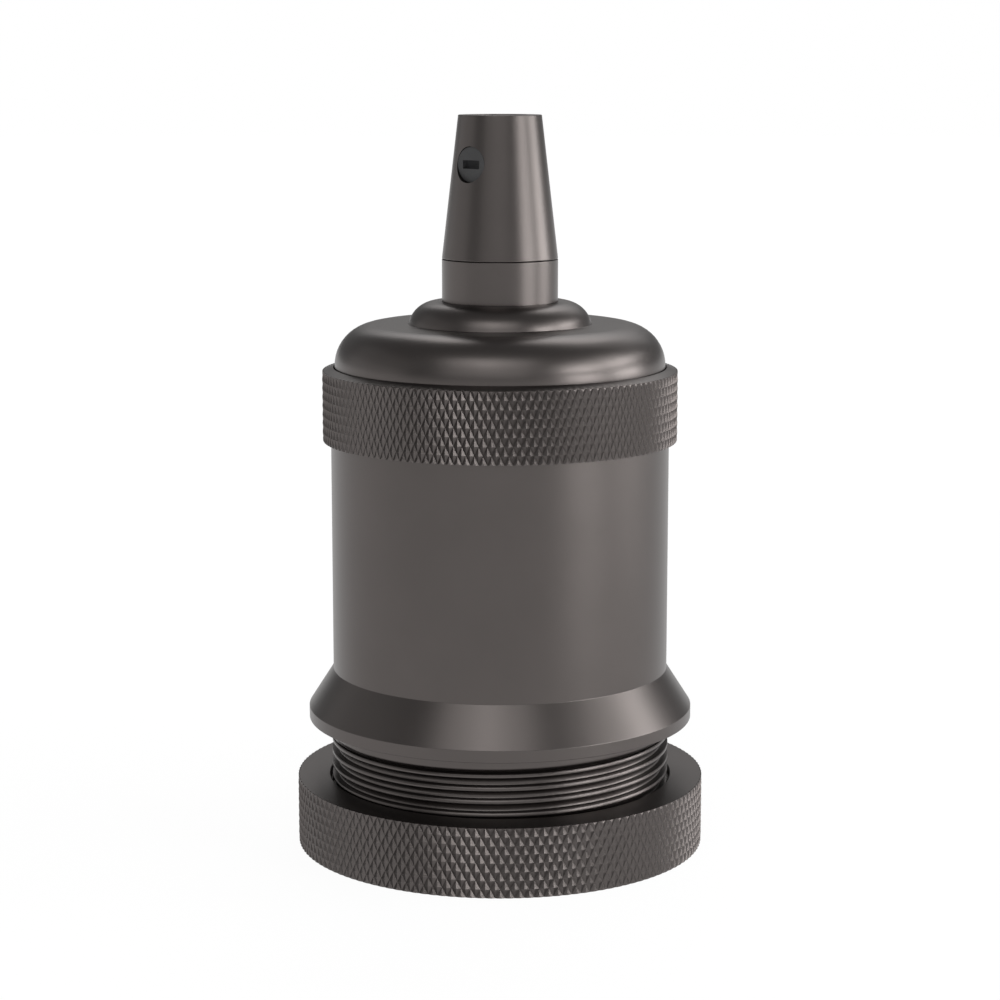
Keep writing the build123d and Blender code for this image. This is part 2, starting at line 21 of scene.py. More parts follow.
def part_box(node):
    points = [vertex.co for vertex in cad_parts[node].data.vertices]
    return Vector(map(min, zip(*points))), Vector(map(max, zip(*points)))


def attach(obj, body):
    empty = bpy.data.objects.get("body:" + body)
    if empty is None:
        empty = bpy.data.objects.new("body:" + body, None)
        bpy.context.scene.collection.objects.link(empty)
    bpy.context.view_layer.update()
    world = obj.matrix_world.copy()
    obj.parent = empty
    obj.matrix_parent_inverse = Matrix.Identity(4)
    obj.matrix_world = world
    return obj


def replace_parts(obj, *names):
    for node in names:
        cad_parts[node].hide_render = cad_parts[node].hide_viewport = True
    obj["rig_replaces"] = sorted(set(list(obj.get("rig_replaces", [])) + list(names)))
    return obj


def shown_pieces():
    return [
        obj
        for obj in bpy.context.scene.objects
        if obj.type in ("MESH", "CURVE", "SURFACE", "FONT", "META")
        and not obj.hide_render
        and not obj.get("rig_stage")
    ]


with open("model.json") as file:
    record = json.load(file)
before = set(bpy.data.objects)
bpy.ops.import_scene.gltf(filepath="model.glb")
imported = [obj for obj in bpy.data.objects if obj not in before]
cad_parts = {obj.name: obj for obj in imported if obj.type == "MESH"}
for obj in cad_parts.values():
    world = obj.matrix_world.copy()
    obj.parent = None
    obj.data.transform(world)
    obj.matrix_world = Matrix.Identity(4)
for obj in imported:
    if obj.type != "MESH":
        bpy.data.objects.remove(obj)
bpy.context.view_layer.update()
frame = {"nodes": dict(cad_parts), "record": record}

Array = NDArray[np.float64]
Faces = NDArray[np.int64]
# Points as (radius from the axis, height, corner radius), in millimetres.
Outline = list[tuple[float, float, float]]

MM = 0.001
FRONT = -math.pi / 2
TURN_STEPS = 288
MERGE_METRES = 1e-6
SAME_POINT_MM = 1e-6
LEAST_LENGTH = 1e-12
LARGEST_COSINE = 0.9999
SPARE_TURNS = 2
CUT_SEGMENTS = 96
CUT_SHARP_DEGREES = 40.0
COPY_SHARP_DEGREES = 28.0
MOTTLE_RANGE = (0.35, 0.65)
GRAIN_RANGE = (0.3, 0.7)
COAT_ROUGHNESS = 0.06
# Ending of the knurled rings' names, and of the lighter copy of the dark metal on their bands, which is
# painted light.
KNURLED = "_knurled"

logging.basicConfig(level=logging.INFO, format="%(levelname)s %(message)s")
log = logging.getLogger("lamp_holder")


class Slot(Enum):
    """Material slots of the record."""

    DARK_METAL = "dark_metal"
    BLACK_PLASTIC = "black_plastic"
    PLATED_STEEL = "plated_steel"
    PORCELAIN = "porcelain"
    SHELL_METAL = "shell_metal"
    TERMINAL_BRASS = "terminal_brass"
    SPRING_BRONZE = "spring_bronze"


@dataclass(frozen=True)
class Span:
    """Radius and heights of a node of the frame, in millimetres."""

    radius: float
    low: float
    high: float


def span_of(node: str) -> Span:
    """Reads a node's radius and heights from the frame."""
    low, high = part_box(node)
    return Span(high.x / MM, low.z / MM, high.z / MM)


def rounded(corners: Outline, closed: bool = True, steps: int = 5, support: float = 0.03) -> Array:
    """Rounds the corners of an outline with circular arcs.

    Each corner is replaced by an arc tangent to its two sides, whose centre lies on the bisector at
    the radius divided by the sine of half the corner's angle. Two support points stand just outside
    the arc, so that the flat sides shade flat.

    Args:
        corners: Points as (radius from the axis, height, corner radius).
        closed: Whether the last corner joins the first. An open outline keeps its end points.
        steps: Points on each arc.
        support: Distance from an arc's end to its support point.

    Returns:
        Points as an array of (radius from the axis, height).
    """
    data = np.array(corners, float)
    points, radii = data[:, :2], data[:, 2:]
    before = np.roll(points, 1, axis=0) - points
    after = np.roll(points, -1, axis=0) - points
    before /= np.linalg.norm(before, axis=1, keepdims=True)
    after /= np.linalg.norm(after, axis=1, keepdims=True)
    cosine = np.clip((before * after).sum(1, keepdims=True), -LARGEST_COSINE, LARGEST_COSINE)
    half = np.arccos(cosine) / 2
    cut = radii / np.tan(half)
    bisector = before + after
    bisector /= np.linalg.norm(bisector, axis=1, keepdims=True)
    centre = points + bisector * radii / np.sin(half)
    start, end = points + before * cut, points + after * cut
    turn = (math.pi - 2 * half)[:, :, None]
    share = np.linspace(0, 1, steps)[None, :, None]
    from_start = np.sin((1 - share) * turn) / np.sin(turn)
    from_end = np.sin(share * turn) / np.sin(turn)
    arcs = centre[:, None] + from_start * (start - centre)[:, None] + from_end * (end - centre)[:, None]
    rows = np.concatenate(
        [(start + before * support)[:, None], arcs, (end + after * support)[:, None]], axis=1
    )
    if closed:
        return rows.reshape(-1, 2)
    inner = rows[1:-1].reshape(-1, 2)
    return np.vstack([points[:1], inner, points[-1:]])


def turn_angles(steps: int) -> Array:
    """Even angles round the axis, in radians."""
    return np.arange(steps) * math.tau / steps


def round_axis(radius: Array, height: Array, angle: Array) -> Array:
    """Points at a radius, a height and an angle about the axis, in arrays that broadcast together."""
    places = np.broadcast_arrays(radius * np.cos(angle), radius * np.sin(angle), height)
    return np.stack(places, axis=-1)


def turned_grid(outline: Array, steps: int = TURN_STEPS) -> Array:
    """Carries an outline of (radius, height) points round the axis, one row for each point."""
    return round_axis(outline[:, :1], outline[:, 1:], turn_angles(steps))


def four_cornered(*corners: Faces) -> Faces:
    """Faces as rows of four point indices, from one array of indices for each corner."""
    return np.stack(np.broadcast_arrays(*corners), axis=-1).reshape(-1, 4)


def grid_faces(rows: int, columns: int, close_rows: bool) -> Faces:
    """Four-cornered faces of a grid that closes on itself round the axis.

    Args:
        rows, columns: Size of the grid.
        close_rows: Whether the last row joins the first.

    Returns:
        Faces as rows of four point indices.
    """
    row = np.arange(rows if close_rows else rows - 1)[:, None]
    column = np.arange(columns)[None, :]
    beside, above = (column + 1) % columns, (row + 1) % rows
    return four_cornered(
        row * columns + column, row * columns + beside,
        above * columns + beside, above * columns + column,
    )


class Patchwork:
    """Collects patches of surface that meet edge to edge and sews them into one closed mesh."""

    def __init__(self) -> None:
        """Starts with no patches."""
        self.points: list[Array] = []
        self.faces: list[list[int]] = []
        self.count = 0

    def add(self, points: Array, faces: Faces) -> None:
        """Adds a patch.

        Args:
            points: Points in millimetres, in any array shape that ends in three.
            faces: Rows of point indices within the patch.
        """
        flat = points.reshape(-1, 3)
        self.points.append(flat)
        self.faces.extend((faces + self.count).tolist())
        self.count += len(flat)

    def add_turned(self, outline: Array, closed: bool = False) -> None:
        """Adds a turned strip from an outline of (radius, height) points."""
        self.add(turned_grid(outline), grid_faces(len(outline), TURN_STEPS, closed))

    def sew(self, name: str) -> bpy.types.Object:
        """Makes the object: joins equal points, drops collapsed faces and turns all faces outwards.

        Args:
            name: Name of the piece.

        Returns:
            The new object, linked to the scene.
        """
        mesh = bpy.data.meshes.new(name)
        mesh.from_pydata(np.vstack(self.points) * MM, [], self.faces)
        sewn = bmesh.new()
        sewn.from_mesh(mesh)
        bmesh.ops.remove_doubles(sewn, verts=sewn.verts, dist=MERGE_METRES)
        bmesh.ops.dissolve_degenerate(sewn, edges=sewn.edges, dist=MERGE_METRES)
        bmesh.ops.recalc_face_normals(sewn, faces=sewn.faces)
        sewn.to_mesh(mesh)
        sewn.free()
        return placed(name, mesh)


def turned_piece(name: str, outline: Array, closed: bool) -> bpy.types.Object:
    """Makes a piece from one turned outline of (radius, height) points."""
    patchwork = Patchwork()
    patchwork.add_turned(outline, closed)
    return patchwork.sew(name)


def linked(name: str, data: bpy.types.ID) -> bpy.types.Object:
    """Adds an object with its data to the scene."""
    made = bpy.data.objects.new(name, data)
    bpy.context.scene.collection.objects.link(made)
    return made


def shade_smooth(mesh: bpy.types.Mesh, sharp_degrees: float | None) -> None:
    """Shades a mesh smooth, apart from edges that turn more than an angle, where one is given."""
    mesh.polygons.foreach_set("use_smooth", np.ones(len(mesh.polygons), bool))
    if sharp_degrees is not None:
        mesh.set_sharp_from_angle(angle=math.radians(sharp_degrees))


def placed(name: str, mesh: bpy.types.Mesh, sharp_degrees: float | None = None) -> bpy.types.Object:
    """Links a mesh to the scene with smooth shading.

    Args:
        name: Name of the piece.
        mesh: Its mesh, in metres.
        sharp_degrees: Edges that turn more than this stay sharp.

    Returns:
        The new object.
    """
    shade_smooth(mesh, sharp_degrees)
    mesh.update()
    return linked(name, mesh)


@dataclass(frozen=True)
class Thread:
    """Ridged right-hand thread with a flat crest that is chamfered below.

    Attributes:
        radius: Radius over the crests.
        depth: Height of the ridges.
        pitch: Climb for each turn.
        low: Height where the thread starts.
        high: Height where it ends.
        front_crest: Height of the upper edge of one crest at the front.
        crest: Width of the flat crest along the axis.
        chamfer: Height and depth of the chamfer under the crest.
        flank: Height of each of the two flat flanks.
        run_out: Height over which the ridges fade at each end.
        shoulder: Radius of the plain collar over the last groove, or 0 where there is none.
        last_groove: Height of the last groove, over the crest that front_crest names.
        closing: Height over which the last groove closes.
        narrow_below: Distance under high where the shoulder is narrowed, so that a ring can pass.
        narrow_ramp: Height over which it widens to its full radius.
        narrow_step: How far the narrowed shoulder stands over the crests.
        blur: Half the width over which the section's corners are rounded.
        row_gap: Distance from a corner of the section to the grid's rows beside it.
    """

    radius: float
    depth: float
    pitch: float
    low: float
    high: float
    front_crest: float
    crest: float = 0.43
    chamfer: float = 0.25
    flank: float = 0.05
    run_out: float = 0.6
    shoulder: float = 0.0
    last_groove: float = 0.29
    closing: float = 0.30
    narrow_below: float = 0.60
    narrow_ramp: float = 0.20
    narrow_step: float = 0.03
    blur: float = 0.012
    row_gap: float = 0.014

    @property
    def root(self) -> float:
        """Radius at the bottom of the groove."""
        return self.radius - self.depth

    @property
    def corners(self) -> Array:
        """Heights of the section's corners over the foot of a ridge."""
        return np.cumsum([0.0, self.flank, self.chamfer, self.crest, self.flank])

    @property
    def crest_top(self) -> float:
        """Height of a crest's upper edge over the foot of its ridge."""
        return self.corners[3]

    def section(self, offset: Array) -> Array:
        """Radius of the thread's section.

        Straight lines join root, chamfer, crest and root again, and the mean of three samples a blur
        apart rounds the corners. Over the last groove stands the shoulder.

        Args:
            offset: Height above the foot of the ridge that front_crest names, in millimetres.

        Returns:
            Radius at each height.
        """
        radii = [self.root, self.radius - self.chamfer, self.radius, self.radius, self.root, self.root]
        heights = [*self.corners, self.pitch]
        end = self.crest_top + self.last_groove if self.shoulder else math.inf
        samples = [
            np.where(place > end, self.shoulder, np.interp(place % self.pitch, heights, radii))
            for place in (offset - self.blur, offset, offset + self.blur)
        ]
        return np.mean(samples, axis=0)

    def patch(self) -> tuple[Array, Faces]:
        """Skewed grid whose rows follow the helix.

        A point's height is its offset along the section plus the pitch times its share of a turn.
        Heights are held between low and high. At a plain end the radius is held under a cone, so the
        ridge fades into the root, and at a shoulder it is held over a cone, so the groove closes. The
        shoulder itself is held under a short cone at its lower end.

        Returns:
            The grid's points and faces.
        """
        corners = np.append(self.corners, self.crest_top + self.last_groove)
        nodes = (corners[:, None] + np.array([-self.row_gap, 0.0, self.row_gap])).ravel()
        foot = self.front_crest - self.crest_top
        first = math.floor((self.low - foot) / self.pitch) - SPARE_TURNS
        turns = math.ceil((self.high - self.low) / self.pitch) + 2 * SPARE_TURNS
        offsets = (np.arange(first, first + turns)[:, None] * self.pitch + nodes).ravel()
        angle = turn_angles(TURN_STEPS)
        climb = self.pitch * (angle - FRONT % math.tau) / math.tau
        climb = (climb + self.pitch / 2) % self.pitch - self.pitch / 2
        height = foot + offsets[:, None] + climb[None, :]
        radius = np.broadcast_to(self.section(offsets)[:, None], height.shape)
        room = height - self.low
        if not self.shoulder:
            room = np.minimum(room, self.high - height)
        cone = self.root + self.depth * np.clip(room / self.run_out, 0.0, 1.0)
        radius = np.where(radius > self.radius, radius, np.minimum(radius, cone))
        if self.shoulder:
            closed = np.clip((height - self.high + self.closing) / self.closing, 0.0, 1.0)
            radius = np.maximum(radius, self.root + (self.shoulder - self.root) * closed)
            widening = (height - self.high + self.narrow_below) / self.narrow_ramp
            under = np.interp(widening, [0.0, 1.0], [self.radius + self.narrow_step, self.shoulder])
            radius = np.minimum(radius, under)
        points = round_axis(radius, np.clip(height, self.low, self.high), angle)
        seam = int(np.argmax(np.abs(np.diff(climb)) > self.pitch / 2))
        return points, self.faces(len(offsets), TURN_STEPS, seam, len(nodes))

    def faces(self, rows: int, columns: int, seam: int, rows_a_turn: int) -> Faces:
        """Faces of the skewed grid, which moves by the rows of one turn at its seam.

        Args:
            rows, columns: Size of the grid.
            seam: Column before the seam.
            rows_a_turn: Rows of one turn of the thread.

        Returns:
            Faces as rows of four point indices.
        """
        row, column = np.arange(rows - 1)[:, None], np.arange(columns)[None, :]
        beside = (column + 1) % columns
        shifted = row + (column == seam) * rows_a_turn
        faces = four_cornered(
            row * columns + column, shifted * columns + beside,
            (shifted + 1) * columns + beside, (row + 1) * columns + column,
        )
        return faces[((faces >= 0) & (faces < rows * columns)).all(axis=1)]


@dataclass
class KnurledRing:
    """Ring with rows of four-sided pyramids on its wall and a turned inside.

    The pyramids are pressed shallow, so that the ring's outline stays clean, while their faces are
    shaded at the slope of a sharp tool.

    Attributes:
        node: Node of the frame that it stands for.
        reach: Radius over the pyramids and heights of the knurled band.
        inside: Outline from the band's top edge over the inside to its bottom edge.
        columns: Half pyramids round the band.
        rows: Half pyramids up the band.
        relief: Height of a pyramid.
        relief_edge: Depth of the chamfer at both ends of the band, over the relief.
        slope_depth: Height of a pyramid that has the shaded slope.
        edge_break: Depth of the chamfer at the shaded slope.
        edge_slope: Depth of that chamfer over its height.
    """

    node: str
    reach: Span
    inside: Outline
    columns: int = 276
    rows: int = 8
    relief: float = 0.12
    relief_edge: float = 0.25
    slope_depth: float = 0.42
    edge_break: float = 0.18
    edge_slope: float = 0.62

    def share(self, across: Array, up: Array) -> Array:
        """Height of the pyramids, from 0 in a groove to 1 at a tip, at counts of half pyramids."""
        # Two families of grooves cross, each a triangle wave of the sum or of the difference of the
        # two coordinates, and the lower of both waves is the surface.
        return np.minimum(1 - np.abs((across + up) % 2 - 1), 1 - np.abs((across - up) % 2 - 1))

    def band(self, across: Array, up: Array, depth: float, edge_break: float) -> Array:
        """Grid of the knurled wall. The radius is held under a chamfer at both ends.

        Args:
            across: Half pyramids counted round the band, one for each column.
            up: Half pyramids counted up the band, one for each row.
            depth: Height of a pyramid.
            edge_break: Chamfer at both ends.

        Returns:
            Points in millimetres.
        """
        height = self.reach.low + up * (self.reach.high - self.reach.low) / self.rows
        radius = self.reach.radius - depth * (1 - self.share(across[None, :], up[:, None]))
        room = np.minimum(height - self.reach.low, self.reach.high - height)[:, None]
        radius = np.minimum(radius, self.reach.radius - edge_break + room * self.edge_slope)
        return round_axis(radius, height[:, None], across * math.tau / self.columns)

    def build(self) -> bpy.types.Object:
        """Makes the ring as one closed surface: the band, then the inside from its top to its foot."""
        across, up = self.marks(self.columns), np.append(self.marks(self.rows), self.rows)
        turned = rounded(self.inside, closed=False, steps=3)
        gaps = np.linalg.norm(np.diff(turned, axis=0), axis=1)
        turned = turned[np.append(True, gaps > SAME_POINT_MM)]
        inner = round_axis(turned[:, :1], turned[:, 1:], across * math.tau / self.columns)
        wall = self.band(across, up, self.relief, self.relief * self.relief_edge)
        grid = np.concatenate([wall, inner])
        sharp = np.concatenate([self.band(across, up, self.slope_depth, self.edge_break), inner])
        faces = self.split_faces(len(grid), len(across))
        mesh = bpy.data.meshes.new(self.node + KNURLED)
        mesh.from_pydata(grid.reshape(-1, 3) * MM, [], faces.tolist())
        piece = placed(self.node + KNURLED, mesh)
        band_faces = (faces < (len(up) * len(across))).all(axis=1)
        # The band's faces take the second material, the lighter copy of the dark metal that paints
        # light onto the knurl.
        mesh.polygons.foreach_set("material_index", band_faces.astype(np.int32))
        mesh.normals_split_custom_set(self.shading(sharp.reshape(-1, 3), faces, band_faces).tolist())
        return piece

    def marks(self, cells: int) -> Array:
        """Grid lines for a count of half pyramids, at the corners of the chamfer's faces.

        The chamfer reaches up a cell by its size over the cell's height, and along it down to the share
        where a pyramid drops under the chamfer. Every second cell is mirrored, so that the grooves run
        through the grid's crossings.

        Args:
            cells: Number of half pyramids.

        Returns:
            Grid lines, counted in half pyramids.
        """
        reach = self.edge_break / self.edge_slope * self.rows / (self.reach.high - self.reach.low)
        drop = 1 - self.edge_break / self.slope_depth
        cell = np.arange(cells)[:, None]
        return (cell + np.where(cell % 2 == 0, [0.0, reach, drop], [0.0, 1 - drop, 1 - reach])).ravel()

    def shading(self, points: Array, faces: Faces, flat: NDArray[np.bool_]) -> Array:
        """Normals for each corner of each face.

        A face's normal is the cross product of two of its sides. Flat faces keep it at all three
        corners, and at the others each corner gets the mean of the faces that meet there.

        Args:
            points: Points that the slopes are taken from.
            faces: Rows of three point indices.
            flat: Which faces stay flat.

        Returns:
            One normal for each corner.
        """
        corner = points[faces]
        normal = np.cross(corner[:, 1] - corner[:, 0], corner[:, 2] - corner[:, 0])
        total = np.zeros_like(points)
        smooth_faces, smooth_normals = faces[~flat], normal[~flat]
        np.add.at(total, smooth_faces.ravel(), np.repeat(smooth_normals, 3, axis=0))
        corners = np.where(flat[:, None, None], normal[:, None, :], total[faces]).reshape(-1, 3)
        return corners / np.maximum(np.linalg.norm(corners, axis=1, keepdims=True), LEAST_LENGTH)

    def split_faces(self, rows: int, columns: int) -> Faces:
        """Three-cornered faces, cut along the groove that crosses each quarter of a pyramid.

        Args:
            rows, columns: Size of the grid.

        Returns:
            Faces as rows of three point indices.
        """
        quads = grid_faces(rows, columns, True).reshape(rows, columns, 4)
        lines = columns // self.columns
        cell = np.add.outer(np.arange(rows) // lines, np.arange(columns) // lines)
        rising = (cell % 2 == 0)[:, :, None]
        first = np.where(rising, quads[:, :, [0, 1, 2]], quads[:, :, [0, 1, 3]])
        second = np.where(rising, quads[:, :, [0, 2, 3]], quads[:, :, [1, 2, 3]])
        return np.concatenate([first.reshape(-1, 3), second.reshape(-1, 3)])


@dataclass(frozen=True)
class SteppedHole:
    """Hole of a knurled ring: a mouth, a step and a bore, with a corner radius for each point."""

    mouth_radius: float
    step_height: float
    bore_radius: float
    corner_radii: tuple[float, ...]
    bevel: float = 0.1
    land: float = 0.25

    def outline(self, band: Span, top: float) -> Outline:
        """Outline of a ring's inside.

        Args:
            band: Radius and heights of the knurled band.
            top: Height of the mouth's upper end.

        Returns:
            Points from the band's top edge over the hole to its bottom edge.
        """
        edge, low = band.radius - self.land, band.low
        places = [
            (edge, band.high), (self.mouth_radius + self.bevel, top),
            (self.mouth_radius, top - self.bevel), (self.mouth_radius, self.step_height),
            (self.bore_radius, self.step_height), (self.bore_radius, low + self.bevel),
            (self.bore_radius + self.bevel, low), (edge, low),
        ]
        return [(*place, radius) for place, radius in zip(places, self.corner_radii)]


@dataclass
class Sleeve:
    """Sleeve with its lower and upper thread and the coned flange."""

    reach: Span = field(default_factory=lambda: span_of("sleeve"))
    body_radius: float = 19.67
    bore_radius: float = 18.1
    pitch: float = 1.5
    thread_radius: float = 19.9
    thread_depth: float = 0.70
    thread_crest: float = 13.02
    collar_radius: float = 20.0
    groove_end: float = 13.95
    rim_low: float = 15.03
    rim_high: float = 16.42
    cone_top: float = 20.90
    upper_length: float = 6.0
    upper_depth: float = 0.40
    upper_chamfer: float = 0.15
    upper_first_crest: float = 1.0
    upper_plain_end: float = 0.1
    upper_ramp: float = 0.2

    def lower_thread(self) -> Thread:
        """Thread for the shade ring."""
        return Thread(
            self.thread_radius, self.thread_depth, self.pitch, 0.0, self.groove_end, self.thread_crest,
            shoulder=self.collar_radius,
        )

    def upper_thread(self) -> Thread:
        """Thread for the cap ring."""
        low, high = self.reach.high - self.upper_length, self.reach.high - self.upper_plain_end
        return Thread(
            self.body_radius, self.upper_depth, self.pitch, low, high, low + self.upper_first_crest,
            chamfer=self.upper_chamfer,
        )

    def build(self) -> bpy.types.Object:
        """Sews bore, threads, flange and wall into one closed surface."""
        lower, upper = self.lower_thread(), self.upper_thread()
        foot = [
            (lower.root, 0.0, 0.0), (self.bore_radius, 0.0, 0.12),
            (self.bore_radius, self.reach.high, 0.12), (upper.root, self.reach.high, 0.04),
            (upper.root, upper.high, 0.0),
        ]
        wall = [
            (self.collar_radius, lower.high, 0.0), (self.collar_radius, self.rim_low, 0.10),
            (self.reach.radius, self.rim_low, 0.08), (self.reach.radius, self.rim_high, 0.12),
            (self.body_radius, self.cone_top, 0.10),
            (self.body_radius, upper.low - self.upper_ramp, 0.05), (upper.root, upper.low, 0.0),
        ]
        sleeve = Patchwork()
        sleeve.add_turned(rounded(foot, closed=False))
        sleeve.add(*lower.patch())
        sleeve.add_turned(rounded(wall, closed=False))
        sleeve.add(*upper.patch())
        return sleeve.sew("sleeve_turned")


@dataclass
class DomeCap:
    """Turned cap with a rounded shoulder and a rounded step."""

    reach: Span = field(default_factory=lambda: span_of("dome_cap"))
    wall_radius: float = 19.17
    wall: float = 1.3
    flange_height: float = 0.8
    shoulder_top: float = 61.34
    shoulder_round: float = 4.75
    step_radius: float = 10.68
    step_round: float = 3.28
    tube_hole: float = 5.1
    arc_points: int = 24
    arc_foot: int = 2
    round_points: int = 14

    def step_arc(self) -> Array:
        """Outside of the step: an arc that starts on the shoulder's flat and ends level at the top.

        Its centre stands the rounding's radius in from the step's widest place and down from its top,
        and its first angle is the arcsine of the shoulder's height over the centre.

        Returns:
            Points as (radius from the axis, height).
        """
        centre = np.array([self.step_radius, self.reach.high]) - self.step_round
        start = math.asin((self.shoulder_top - centre[1]) / self.step_round)
        turn = np.linspace(start, math.pi / 2, self.arc_points)
        return centre + self.step_round * np.stack([np.cos(turn), np.sin(turn)], axis=-1)

    def build(self) -> bpy.types.Object:
        """Makes the cap as one closed turned surface."""
        low, high = self.reach.low, self.reach.high
        inside, flange_top = self.wall_radius - self.wall, low + self.flange_height
        arc = self.step_arc()
        outside = [
            (inside, low + self.wall, 0.0), (inside, low, 0.1), (self.reach.radius, low, 0.1),
            (self.reach.radius, flange_top, 0.1), (self.wall_radius, flange_top, 0.1),
            (self.wall_radius, self.shoulder_top, self.shoulder_round), (*arc[0], 0.12),
            (*arc[self.arc_foot], 0.0),
        ]
        within = [
            (*arc[-1], 0.0), (self.tube_hole, high, 0.05), (self.tube_hole, high - self.wall, 0.05),
            (self.step_radius - self.wall, high - self.wall, self.step_round - self.wall),
            (self.step_radius - self.wall, self.shoulder_top - self.wall, 0.1),
            (inside, self.shoulder_top - self.wall, self.shoulder_round - self.wall),
            (inside, low + self.wall, 0.0),
        ]
        outline = np.vstack([
            rounded(outside, closed=False, steps=self.round_points), arc[self.arc_foot + 1:-1],
            rounded(within, closed=False, steps=self.round_points),
        ])
        return turned_piece("dome_cap_turned", outline, False)


@dataclass
class Neck:
    """Short ring between cap and cone."""

    reach: Span = field(default_factory=lambda: span_of("neck_spacer"))
    bore_radius: float = 5.1

    def build(self) -> bpy.types.Object:
        """Makes the ring as one closed turned surface."""
        low, high, radius = self.reach.low, self.reach.high, self.reach.radius
        outline = [
            (self.bore_radius, low, 0.05), (radius, low, 0.02), (radius, high, 0.06),
            (self.bore_radius, high, 0.05),
        ]
        return turned_piece("neck_turned", rounded(outline), True)


@dataclass
class GripCone:
    """Cone with the cord bore and the clamp screw's hole."""

    reach: Span = field(default_factory=lambda: span_of("cord_grip_cone"))
    top_radius: float = 4.79
    bore_radius: float = 3.2
    socket_radius: float = 5.05
    socket_depth: float = 7.3
    screw_hole_radius: float = 2.05
    screw_hole_length: float = 10.0
    screw_height: float = 79.7
    screw_turn: float = 41.0
    ring_spacing: float = 0.7

    def build(self) -> bpy.types.Object:
        """Makes the turned cone and cuts the screw's hole through one side."""
        low, high = self.reach.low, self.reach.high
        shelf = low + self.socket_depth
        outline = [
            (self.socket_radius, low, 0.05), (self.reach.radius, low, 0.10),
            (self.top_radius, high, 0.12), (self.bore_radius, high, 0.12),
            (self.bore_radius, shelf, 0.05), (self.socket_radius, shelf, 0.05),
        ]
        rings = with_rings(rounded(outline), self.ring_spacing)
        piece = turned_piece("cord_grip_cone_turned", rings, True)
        turn = math.radians(self.screw_turn)
        outward = Vector((-math.sin(turn), -math.cos(turn), 0.0))
        start = Vector((0.0, 0.0, self.screw_height)) * MM
        drill(piece, start, outward, self.screw_hole_radius * MM, self.screw_hole_length * MM)
        return piece


def with_rings(outline: Array, spacing: float) -> Array:
    """Adds points along the long sides of a closed outline.

    Args:
        outline: Points as (radius, height).
        spacing: Longest side that is left as it is, in millimetres.

    Returns:
        The outline with its long sides cut into even parts.
    """
    after = np.roll(outline, -1, axis=0)
    parts = np.maximum(1, np.ceil(np.linalg.norm(after - outline, axis=1) / spacing)).astype(int)
    start = np.repeat(outline, parts, axis=0)
    step = np.repeat((after - outline) / parts[:, None], parts, axis=0)
    index = np.arange(len(start)) - np.repeat(np.cumsum(parts) - parts, parts)
    return start + step * index[:, None]


def drill(piece: bpy.types.Object, start: Vector, along: Vector, radius: float, length: float) -> None:
    """Cuts a round hole out of a piece.

    Args:
        piece: The piece, which gets a new mesh.
        start: Start of the hole's axis, in metres.
        along: Direction of the axis.
        radius, length: Size of the hole in metres.
    """
    shape = bmesh.new()
    turned = along.to_track_quat("Z", "Y").to_matrix().to_4x4()
    bmesh.ops.create_cone(
        shape, cap_ends=True, segments=CUT_SEGMENTS, radius1=radius, radius2=radius, depth=length,
        matrix=Matrix.Translation(start + along * length / 2) @ turned,
    )
    core = bpy.data.meshes.new("cutter")
    shape.to_mesh(core)
    shape.free()
    cut = piece.modifiers.new("cut", "BOOLEAN")
    cut.operation = "DIFFERENCE"
    cut.solver = "EXACT"
    cut.object = placed("cutter", core)
    bpy.context.view_layer.update()
    evaluated = piece.evaluated_get(bpy.context.evaluated_depsgraph_get())
    mesh = bpy.data.meshes.new_from_object(evaluated)
    bpy.data.objects.remove(cut.object)
    piece.modifiers.clear()
    piece.data = mesh
    shade_smooth(mesh, CUT_SHARP_DEGREES)


@dataclass
class LampShell:
    """Rolled shell with a helical wave for the lamp and a holed end plate."""

    reach: Span = field(default_factory=lambda: span_of("screw_shell"))
    middle_radius: float = 13.098
    wave: float = 0.548
    wall: float = 0.30
    pitch: float = 3.629
    fade: float = 1.5
    plate_hole: float = 8.5
    levels: int = 150
    steps: int = 240

    def build(self) -> bpy.types.Object:
        """Makes both faces of the rolled wall and the plate.

        The wall's radius is its middle radius less the wave times the cosine of the height over the
        pitch less the share of a turn. The wave fades out at both ends.
        """
        height = np.linspace(self.reach.low, self.reach.high - self.wall, self.levels)[:, None]
        angle = turn_angles(self.steps)
        ceiling = height[-1, 0]
        top = ceiling + self.wall
        fade = np.clip(np.minimum(height - self.reach.low, ceiling - height) / self.fade, 0, 1)
        phase = math.tau * height / self.pitch - angle
        middle = self.middle_radius + self.wave * (1 - fade) - self.wave * fade * np.cos(phase)
        inner, outer = middle - self.wall / 2, middle + self.wall / 2
        plate = turned_grid(np.array([[self.plate_hole, top], [self.plate_hole, ceiling]]), self.steps)
        grid = np.concatenate([
            plate[1:], round_axis(inner[::-1], height[::-1], angle),
            round_axis(outer[:-1], height[:-1], angle),
            round_axis(outer[-1:], np.array([[top]]), angle), plate[:1],
        ])
        shell = Patchwork()
        shell.add(grid, grid_faces(len(grid), self.steps, True))
        return shell.sew("screw_shell_rolled")


def smoothed_copy(node: str) -> bpy.types.Object:
    """Copies a node of the frame, merges its loose triangles and shades its round faces smooth.

    Args:
        node: Name of the node.

    Returns:
        The new piece.
    """
    shape = bmesh.new()
    shape.from_mesh(frame["nodes"][node].data)
    bmesh.ops.remove_doubles(shape, verts=shape.verts, dist=MERGE_METRES)
    mesh = bpy.data.meshes.new(node + "_smooth")
    shape.to_mesh(mesh)
    shape.free()
    return placed(node + "_smooth", mesh, COPY_SHARP_DEGREES)


